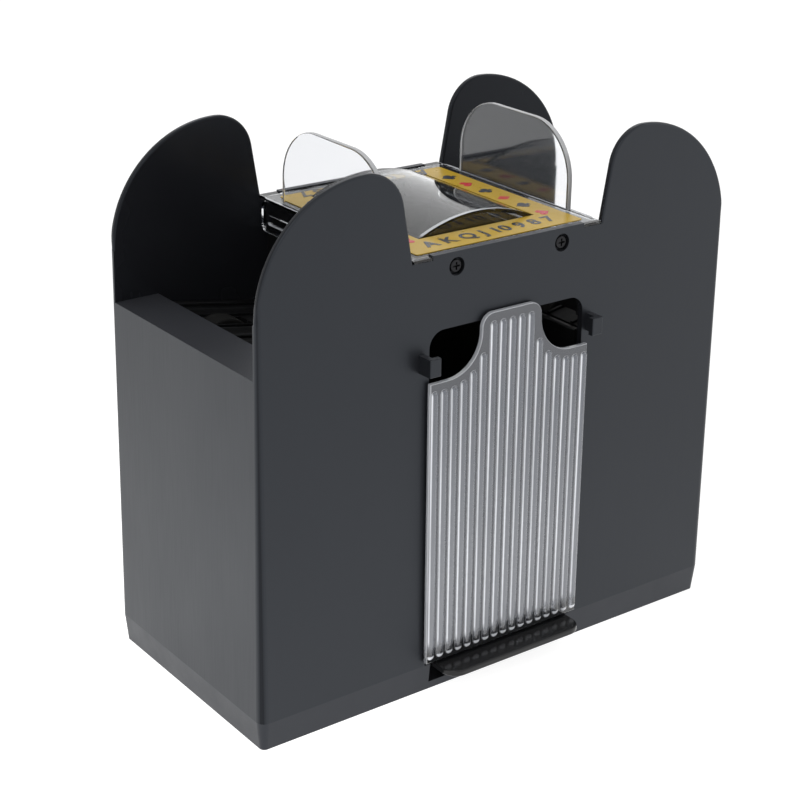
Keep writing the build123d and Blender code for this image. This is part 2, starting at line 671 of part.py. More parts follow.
def meshing_tooth(teeth, tooth, other_teeth, direction):
    """Tooth angle for a gear that meets another, which lies in a direction from the first."""
    pitch = 360 / teeth
    other_pitch = 360 / other_teeth
    phase = (direction - tooth) / pitch
    return direction + 180 - other_pitch * (0.5 - phase)


SLOPE_DIRECTION = FLOOR_SLOPE
FEED_TOOTH = 0.0
IDLER_TOOTH = meshing_tooth(ROLLER_TEETH, FEED_TOOTH, IDLER_TEETH, SLOPE_DIRECTION)
PICKUP_TOOTH = meshing_tooth(IDLER_TEETH, IDLER_TOOTH, ROLLER_TEETH, SLOPE_DIRECTION)
SMALL_TOOTH = meshing_tooth(ROLLER_TEETH, FEED_TOOTH, COMPOUND_SMALL_TEETH, COMPOUND_ANGLE)
LARGE_TOOTH = 0.0
PINION_TOOTH = meshing_tooth(COMPOUND_LARGE_TEETH, LARGE_TOOTH, PINION_TEETH, MOTOR_ANGLE)

GEAR_PIN_RADIUS = 1.5
COMPOUND_NECK_RADIUS = 4.6
COMPOUND_HUB_RADIUS = 5.0
COMPOUND_RIM_RADIUS = 13.8   # the large gear is thinned inside its rim


def make_compound_gear():
    small = gear(COMPOUND_X, COMPOUND_Z, COMPOUND_SMALL_TEETH, GEAR_LAYER_Y, SMALL_TOOTH, 1.0)
    large = gear(COMPOUND_X, COMPOUND_Z, COMPOUND_LARGE_TEETH, REDUCTION_LAYER_Y, LARGE_TOOTH, 1.0)
    neck = rod_y(COMPOUND_X, COMPOUND_Z, COMPOUND_NECK_RADIUS, GEAR_LAYER_Y + GEAR_WIDTH, REDUCTION_LAYER_Y)
    web = rod_y(
        COMPOUND_X, COMPOUND_Z, COMPOUND_RIM_RADIUS, REDUCTION_LAYER_Y + 2.6, REDUCTION_LAYER_Y + GEAR_WIDTH + 1)
    web = web - rod_y(COMPOUND_X, COMPOUND_Z, COMPOUND_HUB_RADIUS, REDUCTION_LAYER_Y, REDUCTION_LAYER_Y + 10)
    joined = small + neck + (large - web)
    return joined - rod_y(COMPOUND_X, COMPOUND_Z, GEAR_PIN_RADIUS + RUNNING_GAP, 20, 50)


def make_idler_gear():
    return gear(IDLER_X, IDLER_Z, IDLER_TEETH, GEAR_LAYER_Y, IDLER_TOOTH, GEAR_PIN_RADIUS + RUNNING_GAP)


def make_motor_rotor():
    """Motor shaft with its pinion."""
    pinion = gear(MOTOR_X, MOTOR_Z, PINION_TEETH, REDUCTION_LAYER_Y, PINION_TOOTH, 0.5)
    shaft = rod_y(MOTOR_X, MOTOR_Z, MOTOR_SHAFT_RADIUS, GEAR_PLATE_Y - 22, REDUCTION_LAYER_Y + GEAR_WIDTH + 0.6)
    return pinion + shaft


# ---------------------------------------------------------------------------
# Roller shafts
# ---------------------------------------------------------------------------
FRONT_PLATE_Y = -31.0     # front face of the front frame plate
SHAFT_FROM_Y = -34.0
SHAFT_TO_Y = 36.2
BUSH_RADIUS = 4.0


def make_shaft(x, z):
    shaft = rod_y(x, z, SHAFT_RADIUS, SHAFT_FROM_Y, SHAFT_TO_Y)
    ends = shaft.edges().filter_by(GeomType.CIRCLE)
    return chamfer(ends, 0.3)


def make_hubs(x, z):
    """Two moulded roller hubs on one shaft."""
    hubs = []
    for y in (-ROLLER_Y, ROLLER_Y):
        half = ROLLER_WIDTH / 2
        hub = rod_y(x, z, ROLLER_HUB_RADIUS, y - half, y + half)
        for groove_y in (y - half, y + half - 2.4):
            groove = rod_y(x, z, 7.0, groove_y, groove_y + 2.4) - rod_y(x, z, 4.0, groove_y, groove_y + 2.4)
            hub = hub - groove
        hubs.append(hub - rod_y(x, z, SHAFT_RADIUS, y - 10, y + 10))
    return hubs


def make_tyres(x, z):
    """Two rubber tyres with rounded shoulders."""
    tyres = []
    for y in (-ROLLER_Y, ROLLER_Y):
        half = ROLLER_WIDTH / 2
        tyre = rod_y(x, z, ROLLER_RADIUS, y - half, y + half)
        tyre = fillet(tyre.edges().filter_by(GeomType.CIRCLE), 0.8)
        tyres.append(tyre - rod_y(x, z, ROLLER_HUB_RADIUS, y - 10, y + 10))
    return tyres


# ---------------------------------------------------------------------------
# Frame plates, bushes, pins and motors
# ---------------------------------------------------------------------------
PLATE_INNER_X = CHAMBER_HALF + CHAMBER_WALL
PLATE_OUTER_X = 92.0


def frame_plate(y_from):
    """Upright plate under a hopper floor, standing on the base tray."""
    edge_x = FLOOR_OUTER_X - 0.5
    outline = [
        (PLATE_INNER_X, BASE_FLOOR_TOP),
        (PLATE_OUTER_X, BASE_FLOOR_TOP),
        (PLATE_OUTER_X, 118),
        (edge_x, 122),
        (edge_x, floor_under_z(edge_x)),
        (FLOOR_INNER_X, floor_under_z(FLOOR_INNER_X)),
        (PLATE_INNER_X, floor_under_z(FLOOR_INNER_X)),
    ]
    plate = slab_xz(make_face(Polyline(*outline, close=True)), y_from, y_from + PLATE_THICKNESS)
    window = slab_xz(Pos(66, 34) * RectangleRounded(36, 40, 4), y_from - 1, y_from + PLATE_THICKNESS + 1)
    plate = plate - window
    for x, z in ((FEED_X, FEED_Z), (PICKUP_X, PICKUP_Z)):
        plate = plate - rod_y(x, z, BUSH_RADIUS, -60, 60)
    return plate


def make_gear_plate():
    plate = frame_plate(GEAR_PLATE_Y)
    for x, z in ((IDLER_X, IDLER_Z), (COMPOUND_X, COMPOUND_Z)):
        plate = plate - rod_y(x, z, GEAR_PIN_RADIUS, -60, 60)
    plate = plate - rod_y(MOTOR_X, MOTOR_Z, MOTOR_NOSE_RADIUS + 0.1, -60, 60)
    for x in (-MOTOR_SCREW_X, MOTOR_SCREW_X):
        plate = plate - rod_y(MOTOR_X + x, MOTOR_Z, MOTOR_SCREW_RADIUS + 0.3, -60, 60)
    return plate


def make_bearing_plate():
    return frame_plate(FRONT_PLATE_Y)


def make_bushes():
    """Flanged bushes for one side's two roller shafts."""
    bushes = []
    for x, z in ((FEED_X, FEED_Z), (PICKUP_X, PICKUP_Z)):
        for plate_y, flange_y in ((FRONT_PLATE_Y, FRONT_PLATE_Y - 1.0), (GEAR_PLATE_Y, GEAR_PLATE_Y - 1.0)):
            sleeve = rod_y(x, z, BUSH_RADIUS, plate_y, plate_y + PLATE_THICKNESS)
            flange = rod_y(x, z, BUSH_RADIUS + 1.2, flange_y, flange_y + 1.0)
            bore = rod_y(x, z, SHAFT_RADIUS + RUNNING_GAP, -60, 60)
            bushes.append(sleeve + flange - bore)
    return bushes


def make_gear_pins():
    """Steel pins pressed into the gear plate for the idler and compound gears."""
    ends = ((IDLER_X, IDLER_Z, GEAR_LAYER_Y + GEAR_WIDTH + 0.6),
            (COMPOUND_X, COMPOUND_Z, REDUCTION_LAYER_Y + GEAR_WIDTH + 1.0))
    return [rod_y(x, z, GEAR_PIN_RADIUS, GEAR_PLATE_Y, end) for x, z, end in ends]


def make_motor_can():
    """Small flat-sided brushed motor, bored for its shaft."""
    rear_y = GEAR_PLATE_Y - MOTOR_LENGTH
    can = rod_y(MOTOR_X, MOTOR_Z, MOTOR_RADIUS, rear_y, GEAR_PLATE_Y)
    flats = box_between(
        (MOTOR_X - 20, rear_y - 1, MOTOR_Z - MOTOR_FLAT_Z), (MOTOR_X + 20, GEAR_PLATE_Y + 1, MOTOR_Z + MOTOR_FLAT_Z))
    can = can & flats
    can = can + rod_y(MOTOR_X, MOTOR_Z, MOTOR_NOSE_RADIUS, GEAR_PLATE_Y, GEAR_PLATE_Y + 1.6)
    can = can + rod_y(MOTOR_X, MOTOR_Z, 4.5, rear_y - 2, rear_y)
    for x in (-7.0, 7.0):
        can = can + box_between(
            (MOTOR_X + x - 1.2, rear_y - 4, MOTOR_Z - 0.3), (MOTOR_X + x + 1.2, rear_y, MOTOR_Z + 0.3))
    for x in (-MOTOR_SCREW_X, MOTOR_SCREW_X):
        can = can - rod_y(MOTOR_X + x, MOTOR_Z, MOTOR_SCREW_RADIUS, GEAR_PLATE_Y - 4, GEAR_PLATE_Y + 1)
    return can - rod_y(MOTOR_X, MOTOR_Z, MOTOR_SHAFT_RADIUS + RUNNING_GAP, GEAR_PLATE_Y - 22.2, 60)


def make_motor_screws():
    screws = []
    rear = GEAR_PLATE_Y + PLATE_THICKNESS
    for x in (MOTOR_X - MOTOR_SCREW_X, MOTOR_X + MOTOR_SCREW_X):
        head = rod_y(x, MOTOR_Z, MOTOR_SCREW_HEAD_RADIUS, rear, rear + 1.3)
        slot = box_between((x - 2, rear + 0.7, MOTOR_Z - 0.25), (x + 2, rear + 3, MOTOR_Z + 0.25))
        screw = head - slot + rod_y(x, MOTOR_Z, MOTOR_SCREW_RADIUS, GEAR_PLATE_Y - 3.5, rear)
        screws += both_sides(screw)
    return screws


# ---------------------------------------------------------------------------
# Battery box, cells and contacts, in the left column
# ---------------------------------------------------------------------------
CELL_LOW_Z = 4.2
BOX_WALL = 1.4
BOX_TOP_Z = CELL_LOW_Z + CELL_LENGTH + 8


def cell_places():
    """Centres of the four upright cells."""
    half = CELL_PITCH / 2
    return [(CELL_GROUP_X + x, y) for x in (-half, half) for y in (-half, half)]


def make_battery_box():
    inner = CELL_PITCH / 2 + CELL_RADIUS + 0.25
    outer = inner + BOX_WALL
    shell = box_between((CELL_GROUP_X - outer, -outer, BASE_FLOOR_TOP), (CELL_GROUP_X + outer, outer, BOX_TOP_Z))
    hollow = box_between(
        (CELL_GROUP_X - inner, -inner, 0), (CELL_GROUP_X + inner, inner, BOX_TOP_Z - BOX_WALL))
    return shell - hollow


def make_cells():
    cells = []
    for x, y in cell_places():
        body = rod_z(x, y, CELL_RADIUS, CELL_LOW_Z, CELL_LOW_Z + CELL_LENGTH - 1.5)
        body = fillet(body.edges().filter_by(GeomType.CIRCLE), 0.8)
        button = rod_z(x, y, 3.7, CELL_LOW_Z + CELL_LENGTH - 2, CELL_LOW_Z + CELL_LENGTH)
        cells.append(body + button)
    return cells


def make_contact_springs():
    """Coned contact springs between the cells and the top of the box, as thin sleeves."""
    springs = []
    low = CELL_LOW_Z + CELL_LENGTH + 0.1
    high = BOX_TOP_Z - BOX_WALL - 0.6
    for x, y in cell_places():
        coils = Cone(6.2, 3.6, high - low) - Cone(5.2, 2.6, high - low)
        springs.append(Pos(x, y, (low + high) / 2) * Rot(180, 0, 0) * coils)
    return springs


def make_contact_plates():
    """Two contact strips at the top of the box."""
    plates = []
    top = BOX_TOP_Z - BOX_WALL
    for x in (-CELL_PITCH / 2, CELL_PITCH / 2):
        middle = CELL_GROUP_X + x
        plates.append(box_between((middle - 7, -22, top - 0.5), (middle + 7, 22, top)))
    return plates


def make_door_contacts():
    """Flat strips fixed to the battery door, just under the cells."""
    strips = []
    low = BATTERY_DOOR_TOP_Z
    for y in (-CELL_PITCH / 2, CELL_PITCH / 2):
        strips.append(box_between((CELL_GROUP_X - 20, y - 5, low), (CELL_GROUP_X + 14, y + 5, low + 0.5)))
    return strips


# ---------------------------------------------------------------------------
# Press bar, its springs and the start switch
# ---------------------------------------------------------------------------
BAR_LOW_Z = PRESS_BAR_TOP_Z - PRESS_BAR_THICKNESS
BAR_REAR_Y = -33.0
SWITCH_Y = -24.0


def make_press_bar():
    """Lip in front of the door, with a rear plate that rides on two posts."""
    nose_y = front_y(PRESS_BAR_TOP_Z) - PRESS_BAR_REACH
    plan = Pos(0, (nose_y + BAR_REAR_Y) / 2) * Rectangle(2 * PRESS_BAR_HALF, BAR_REAR_Y - nose_y)
    corners = plan.vertices().group_by(Axis.Y)[0]
    plan = fillet(corners, PRESS_BAR_CORNER)
    bar = extrude(Pos(0, 0, BAR_LOW_Z) * plan, amount=PRESS_BAR_THICKNESS)
    rear_edges = bar.edges().group_by(Axis.Y)[-1]
    rims = bar.edges().group_by(Axis.Z)[-1] + bar.edges().group_by(Axis.Z)[0]
    bar = fillet([edge for edge in rims if edge not in rear_edges], 0.6)
    for x in (-GUIDE_POST_X, GUIDE_POST_X):
        sleeve = rod_z(x, GUIDE_POST_Y, 3.2, BAR_LOW_Z - 1.5, PRESS_BAR_TOP_Z)
        bar = bar + sleeve - rod_z(x, GUIDE_POST_Y, GUIDE_POST_RADIUS + 0.1, 0, 30)
    # Finger at the back that reaches over the switch.
    bar = bar + box_between((-4, BAR_REAR_Y - 1, BAR_LOW_Z), (4, SWITCH_Y + 2, BAR_LOW_Z + 2))
    bar = bar + rod_z(0, SWITCH_Y, 1.2, BAR_LOW_Z - 2.2, BAR_LOW_Z + 1)
    return bar


def make_start_switch():
    """Momentary switch block with a well that the bar's peg presses into."""
    body = box_between((-9.5, SWITCH_Y - 3.4, BASE_FLOOR_TOP), (9.5, SWITCH_Y + 3.4, 6.6))
    neck = rod_z(0, SWITCH_Y, 2.4, 6.4, 7.0)
    return body + neck - rod_z(0, SWITCH_Y, 1.35, 3.6, 20)


def make_press_springs():
    """Return springs round the guide posts: coils swept along a helix."""
    springs = []
    low = BASE_FLOOR_TOP + 0.35
    high = BAR_LOW_Z - 1.5 - 0.35
    for x in (-GUIDE_POST_X, GUIDE_POST_X):
        path = Helix(pitch=(high - low) / 3, height=high - low, radius=2.4)
        wire = Plane(origin=path @ 0, z_dir=path % 0) * Circle(0.25)
        springs.append(Pos(x, GUIDE_POST_Y, low) * sweep(wire, path=path, is_frenet=True))
    return springs


# ---------------------------------------------------------------------------
# Front door
# ---------------------------------------------------------------------------
LUG_HEIGHT = 22.0
LUG_GAP = 0.5
LUG_WEB = 1.6
LUG_TOE_THICKNESS = 1.3
LUG_TOE_REACH = 1.6       # how far the toes reach behind the wall


def door_outline():
    """Door drawn on the front plane: shoulders scooped in to a narrow tongue."""
    low = DOOR_BOTTOM_Z - SEAM_Z
    shoulder = DOOR_SHOULDER_Z - SEAM_Z
    top = DOOR_TOP_Z - SEAM_Z
    scoop_x = DOOR_NECK_HALF + DOOR_SCOOP_RADIUS
    scoop_top = shoulder + DOOR_SCOOP_RADIUS
    tongue_radius = 5.0
    half = math.radians(45)
    arc_middle = (scoop_x - DOOR_SCOOP_RADIUS * math.cos(half), scoop_top - DOOR_SCOOP_RADIUS * math.sin(half))
    crown_middle = (
        DOOR_NECK_HALF - tongue_radius * (1 - math.cos(half)),
        top - tongue_radius * (1 - math.sin(half)),
    )
    right = [
        Line((DOOR_HALF, low), (DOOR_HALF, shoulder)),
        Line((DOOR_HALF, shoulder), (scoop_x, shoulder)),
        ThreePointArc((scoop_x, shoulder), arc_middle, (DOOR_NECK_HALF, scoop_top)),
        Line((DOOR_NECK_HALF, scoop_top), (DOOR_NECK_HALF, top - tongue_radius)),
        ThreePointArc((DOOR_NECK_HALF, top - tongue_radius), crown_middle, (DOOR_NECK_HALF - tongue_radius, top)),
    ]
    left = [mirror(edge, about=Plane.YZ) for edge in right]
    ends = [
        Line((-DOOR_HALF, low), (DOOR_HALF, low)),
        Line((-DOOR_NECK_HALF + tongue_radius, top), (DOOR_NECK_HALF - tongue_radius, top)),
    ]
    return make_face(right + left + ends)


def door_rib_top(x):
    """How high the rib at x reaches, following the door's outline."""
    distance = abs(x)
    if distance < DOOR_NECK_HALF - DOOR_RIB_CLEARANCE:
        return DOOR_TOP_Z - 2.7
    run = max(DOOR_NECK_HALF + DOOR_SCOOP_RADIUS - distance, 0)
    radius = DOOR_SCOOP_RADIUS + DOOR_RIB_CLEARANCE
    return DOOR_SHOULDER_Z + DOOR_SCOOP_RADIUS - math.sqrt(radius ** 2 - run ** 2)


def make_front_door():
    back = DOOR_STANDOFF
    face = DOOR_STANDOFF + DOOR_THICKNESS
    plate = Pos(0, 0, back) * extrude(door_outline(), amount=DOOR_THICKNESS)
    plate = fillet(plate.edges().group_by(Axis.Z)[-1], DOOR_EDGE_ROUND)
    door = FRONT * plate
    radius = ((DOOR_RIB_WIDTH / 2) ** 2 + DOOR_RIB_HEIGHT ** 2) / (2 * DOOR_RIB_HEIGHT)
    sink = radius - DOOR_RIB_HEIGHT
    low = DOOR_BOTTOM_Z - SEAM_Z + 1.0 + radius
    for index in range(DOOR_RIB_COUNT):
        x = (index - (DOOR_RIB_COUNT - 1) / 2) * DOOR_RIB_PITCH
        high = door_rib_top(x) - SEAM_Z - radius
        middle = Pos(x, (low + high) / 2, face - sink) * Rot(90, 0, 0) * Cylinder(radius, high - low)
        capsule = middle + Pos(x, low, face - sink) * Sphere(radius) + Pos(x, high, face - sink) * Sphere(radius)
        above = box_between((x - 4, low - 4, face - 0.4), (x + 4, high + 4, face + 4))
        door = door + FRONT * (capsule & above)

    # Lugs that run inside the opening's edges and keep the door on the wall.
    low = DOOR_BOTTOM_Z - SEAM_Z + 2
    high = low + LUG_HEIGHT
    toe_front = -WALL - LUG_GAP
    toe_back = toe_front - LUG_TOE_THICKNESS
    edge_x = DOORWAY_HALF - LUG_GAP
    web = box_between((edge_x - LUG_WEB, low, toe_back), (edge_x, high, back + 0.4))
    toe = box_between((edge_x - LUG_WEB, low, toe_back), (DOORWAY_HALF + LUG_TOE_REACH, high, toe_front))
    for lug in both_sides(web + toe):
        door = door + FRONT * lug
    return door


# ---------------------------------------------------------------------------
# Top cover, its printed label and the card guides
# ---------------------------------------------------------------------------
FLANGE_LOW_Z = 150.6
FLANGE_HALF_Y = 43.6
FLANGE_THICKNESS = 1.8
TAB_END_X = 40.8
TAB_END_Y = 46.8
LABEL_HALF_X = 36.3
LABEL_FRONT_Y = -42.3
LABEL_BACK_Y = 39.8
LABEL_THICKNESS = 0.25


def window_vault(rise_from, thickness):
    """Barrel vault over the cover's window, with its axis along Y and its ends closed."""
    radius = (WINDOW_HALF_X ** 2 + WINDOW_RISE ** 2) / (2 * WINDOW_RISE)
    axis_z = rise_from + WINDOW_RISE - radius
    vault = rod_y(0, axis_z, radius, WINDOW_FRONT_Y, WINDOW_BACK_Y)
    inner_front = WINDOW_FRONT_Y + thickness
    inner_back = WINDOW_BACK_Y - thickness
    vault = vault - rod_y(0, axis_z, radius - thickness, inner_front, inner_back)
    above = box_between((-60, WINDOW_FRONT_Y, rise_from - COVER_THICKNESS), (60, WINDOW_BACK_Y, HEIGHT))
    return vault & above


def make_clear_cover():
    under_z = COVER_TOP_Z - COVER_THICKNESS
    plate = RectangleRounded(2 * COVER_HALF_X, 2 * COVER_HALF_Y, COVER_CORNER)
    cover = extrude(Pos(0, 0, under_z) * plate, amount=COVER_THICKNESS)
    window = box_between((-WINDOW_HALF_X, WINDOW_FRONT_Y, 0), (WINDOW_HALF_X, WINDOW_BACK_Y, HEIGHT))
    cover = cover - window + window_vault(COVER_TOP_Z, COVER_THICKNESS)

    # Corner tabs that rest in the recesses of the housing wall.
    tab_low = NOTCH_Z - TAB_RECESS_DEPTH
    tab = box_between((TAB_RECESS_INNER_X + 0.3, COVER_HALF_Y - 6, tab_low), (TAB_END_X, TAB_END_Y, COVER_TOP_Z))
    for corner in both_sides(tab):
        cover = cover + corner + mirror(corner, about=Plane.XZ)

    # Side flanges with rounded corners and a long window.
    flange = Rectangle(2 * FLANGE_HALF_Y, COVER_TOP_Z - FLANGE_LOW_Z)
    flange = Pos(0, (COVER_TOP_Z + FLANGE_LOW_Z) / 2) * flange
    flange = fillet(flange.vertices().group_by(Axis.Y)[0], 2.5)
    flange = fillet(flange.vertices().group_by(Axis.Y)[-1], 4.5)
    opening = Pos(0, 155.4) * RectangleRounded(2 * FLANGE_HALF_Y - 8, 3.6, 1.2)
    flange = flange - opening
    flange = slab_yz(flange, COVER_HALF_X - FLANGE_THICKNESS, COVER_HALF_X)
    for side in both_sides(flange):
        cover = cover + side
    return cover


def make_cover_label():
    """Thin printed frame stuck round the vaulted window."""
    depth = LABEL_BACK_Y - LABEL_FRONT_Y
    outer = Pos(0, (LABEL_FRONT_Y + LABEL_BACK_Y) / 2) * RectangleRounded(2 * LABEL_HALF_X, depth, 1)
    inner = Rectangle(2 * WINDOW_HALF_X + 0.6, WINDOW_BACK_Y - WINDOW_FRONT_Y + 0.6)
    frame = outer - Pos(0, (WINDOW_FRONT_Y + WINDOW_BACK_Y) / 2) * inner
    return extrude(Pos(0, 0, COVER_TOP_Z) * frame, amount=LABEL_THICKNESS)


def make_card_guide():
    """Right-hand fin: a tall rounded panel on the cover's edge."""
    panel = Pos(0, (COVER_TOP_Z + GUIDE_TOP_Z) / 2) * Rectangle(2 * GUIDE_HALF_Y, GUIDE_TOP_Z - COVER_TOP_Z)
    panel = fillet(panel.vertices().group_by(Axis.Y)[-1], GUIDE_RADIUS)
    fin = slab_yz(panel, GUIDE_OUTER_X - GUIDE_THICKNESS, GUIDE_OUTER_X)
    rims = [edge for edge in fin.edges() if edge.center().Z > COVER_TOP_Z + 0.1]
    return fillet([edge for edge in rims if edge.tangent_at(0.5).X ** 2 < 0.5], GUIDE_RIM_ROUND)


# ---------------------------------------------------------------------------
# Write every node
# ---------------------------------------------------------------------------
write("main_housing", make_housing())
write("base_tray", make_base_tray())
write_group("rubber_feet", make_feet())
write("battery_door", make_battery_door())
write_group("base_screws", make_base_screws())

write_pair("chamber_wall", make_chamber_wall())
write("card_platform", make_card_platform())
write("gate_frame", make_gate_frame())
write_group("separator_pads", make_separator_pads())
write_group("gate_screws", make_gate_screws())
write_pair("hopper_floor", make_hopper_floor())

for side, flip in (("right", False), ("left", True)):
    groups = {
        "bushes": make_bushes(),
        "gear_pins": make_gear_pins(),
        "feed_hubs": make_hubs(FEED_X, FEED_Z),
        "feed_tyres": make_tyres(FEED_X, FEED_Z),
        "pickup_hubs": make_hubs(PICKUP_X, PICKUP_Z),
        "pickup_tyres": make_tyres(PICKUP_X, PICKUP_Z),
    }
    for name, shapes in groups.items():
        if flip:
            shapes = [mirror(shape, about=Plane.YZ) for shape in shapes]
        write_group(f"{side}_{name}", shapes)

write_pair("feed_shaft", make_shaft(FEED_X, FEED_Z))
write_pair("pickup_shaft", make_shaft(PICKUP_X, PICKUP_Z))
write_pair("feed_gear", gear(FEED_X, FEED_Z, ROLLER_TEETH, GEAR_LAYER_Y, FEED_TOOTH, SHAFT_RADIUS))
write_pair("pickup_gear", gear(PICKUP_X, PICKUP_Z, ROLLER_TEETH, GEAR_LAYER_Y, PICKUP_TOOTH, SHAFT_RADIUS))
write_pair("idler_gear", make_idler_gear())
write_pair("compound_gear", make_compound_gear())
write_pair("motor_rotor", make_motor_rotor())
write_pair("motor_can", make_motor_can())
write_pair("gear_plate", make_gear_plate())
write_pair("bearing_plate", make_bearing_plate())
write_group("motor_screws", make_motor_screws())

write("battery_box", make_battery_box())
write_group("c_cells", make_cells())
write_group("contact_springs", make_contact_springs())
write_group("contact_plates", make_contact_plates())
write_group("door_contacts", make_door_contacts())

write("press_bar", make_press_bar())
write("start_switch", make_start_switch())
write_group("press_springs", make_press_springs())

write("front_door", make_front_door())
write("clear_cover", make_clear_cover())
write("cover_label", make_cover_label())
write_pair("card_guide", make_card_guide())
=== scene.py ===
import math

import bmesh
import bpy
from mathutils import Matrix, Vector


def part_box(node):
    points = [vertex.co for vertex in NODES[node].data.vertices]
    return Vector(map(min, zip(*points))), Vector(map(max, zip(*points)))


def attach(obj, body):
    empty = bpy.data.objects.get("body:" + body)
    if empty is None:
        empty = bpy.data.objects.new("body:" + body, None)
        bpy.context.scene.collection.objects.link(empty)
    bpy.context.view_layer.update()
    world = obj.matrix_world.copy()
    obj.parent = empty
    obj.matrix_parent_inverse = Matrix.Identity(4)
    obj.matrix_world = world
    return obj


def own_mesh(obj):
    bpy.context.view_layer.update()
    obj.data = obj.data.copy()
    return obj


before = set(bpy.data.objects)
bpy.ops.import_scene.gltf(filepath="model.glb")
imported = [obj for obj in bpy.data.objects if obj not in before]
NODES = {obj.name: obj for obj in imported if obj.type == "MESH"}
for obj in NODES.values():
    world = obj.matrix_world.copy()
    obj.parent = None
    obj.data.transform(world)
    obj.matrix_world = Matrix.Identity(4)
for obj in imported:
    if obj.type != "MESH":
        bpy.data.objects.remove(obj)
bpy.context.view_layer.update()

MM = 0.001
SEAM_Z = 10.75 * MM         # the housing's walls start here and lean inwards as they rise
LEAN = math.tan(math.radians(0.6))
HALF_WIDTH = 103.0 * MM     # at the seam
HALF_DEPTH = 48.5 * MM

# A pair is where a change in a finish or in painted light starts and where it ends.
RIM_BAND = (-0.55 * MM, -0.1 * MM)      # from the walls' outer faces
DOOR_FACE = 2.4 * MM                    # how far the front of the door's sheet stands off the wall
RIB_PITCH = 4.17 * MM
RIB_RISE = (0.05 * MM, 0.4 * MM)        # above the sheet
RIB_FLANK_START = (-0.40, -0.34)        # in rib pitches from the rib's middle
RIB_FLANK_END = (-0.29, -0.21)
RIB_FOOT_Z = (15.5 * MM, 16.1 * MM)
CLEAR_BAND_Z = (16.5 * MM, 20.5 * MM)
CLEAR_BAND_WAVE = 1.8 * MM
FLANK_END_Z = (18.5 * MM, 21.5 * MM)
DOOR_FADE_Z = (45 * MM, 105 * MM)
VAULT_RIM_Y = (-27.3 * MM, -26.9 * MM)
VAULT_RIM_Z = (163.5 * MM, 164.1 * MM)
COVER_BORDER_X = (40.3 * MM, 40.7 * MM)
BED_LINE_PITCH = 7.6 * MM
BED_LINE_EDGE = (0.02, 0.06)            # in line pitches from a line's middle
BED_LINE_START_X = (50 * MM, 56 * MM)


# ---------------------------------------------------------------------------
# Camera, lights and floor
# ---------------------------------------------------------------------------
CAMERA_AZIMUTH = -36.865
CAMERA_ELEVATION = 22.51
CAMERA_ROLL = 0.907
CAMERA_DISTANCE = 0.6789
CAMERA_TARGET = Vector((-0.01048, 0.0, 0.091446))
CAMERA_LENS = 83.28
SENSOR = 36.0
WORLD_STRENGTH = 0.92
LIGHT_AIM = (0, 0, 0.1)
LIGHTS = {      # place, size and power
    "key": ((-1.1, -0.9, 1.5), (1.0, 1.0), 5),
    "top": ((0.2, 0.5, 1.7), (1.4, 1.0), 5),
    "fill": ((1.3, -0.8, 0.8), (0.8, 0.8), 2),
}
FLOOR_HALF = 6.0
FLOOR_Z = -0.1 * MM
GLOW_SPOT = (-0.17, 0.03, 0.0)      # the floor's emission paints a pool of light, strongest to the left of the machine
GLOW_REACH = (0.05, 0.42)
GLOW_STRENGTH = (1.05, 0.6)


def make_camera():
    azimuth, elevation, roll = (math.radians(a) for a in (CAMERA_AZIMUTH, CAMERA_ELEVATION, CAMERA_ROLL))
    back = Vector((
        math.sin(azimuth) * math.cos(elevation),
        -math.cos(azimuth) * math.cos(elevation),
        math.sin(elevation),
    ))
    right = Vector((0, 0, 1)).cross(back).normalized()
    up = back.cross(right)
    turned = right * math.cos(roll) + up * math.sin(roll)
    up = up * math.cos(roll) - right * math.sin(roll)
    data = bpy.data.cameras.new("camera")
    data.lens = CAMERA_LENS
    data.sensor_width = SENSOR
    data.clip_start = 0.05
    data.clip_end = 20
    camera = bpy.data.objects.new("camera", data)
    place = Matrix((turned, up, back)).transposed().to_4x4()
    place.translation = CAMERA_TARGET + back * CAMERA_DISTANCE
    camera.matrix_world = place
    bpy.context.scene.collection.objects.link(camera)
    bpy.context.scene.camera = camera


def area_light(name, spot, size, power):
    data = bpy.data.lights.new(name, "AREA")
    data.shape = "RECTANGLE"
    data.size, data.size_y = size
    data.energy = power
    light = bpy.data.objects.new(name, data)
    light.location = spot
    light.rotation_euler = (Vector(LIGHT_AIM) - Vector(spot)).to_track_quat("-Z", "Y").to_euler()
    bpy.context.scene.collection.objects.link(light)


def make_stage():
    world = bpy.data.worlds.new("studio")
    world.use_nodes = True
    background = world.node_tree.nodes["Background"]
    background.inputs["Color"].default_value = (1.0, 1.0, 1.0, 1)
    background.inputs["Strength"].default_value = WORLD_STRENGTH
    bpy.context.scene.world = world
    bpy.context.scene.view_settings.view_transform = "Standard"
    for name, light in LIGHTS.items():
        area_light(name, *light)
    mesh = bpy.data.meshes.new("floor")
    signs = ((-1, -1), (1, -1), (1, 1), (-1, 1))
    mesh.from_pydata([(x * FLOOR_HALF, y * FLOOR_HALF, FLOOR_Z) for x, y in signs], [], [(0, 1, 2, 3)])
    floor = bpy.data.objects.new("floor", mesh)
    bpy.context.scene.collection.objects.link(floor)
    paint = Shader("floor_paint", Roughness=0.8, Emission_Color=(1, 1, 1, 1))
    speckle = paint.noise(6.0, detail=2)
    paint.colour(speckle, (0.4, 0.4, 0.4), (0.43, 0.43, 0.43))
    # Painted light: the floor glows most near GLOW_SPOT, a painted pool of light.
    away = paint.node("ShaderNodeVectorMath", {0: paint.place, 1: GLOW_SPOT}, operation="DISTANCE")
    paint.drive("Emission Strength", paint.remap(away.outputs["Value"], *GLOW_REACH, *GLOW_STRENGTH))
    mesh.materials.append(paint.material)


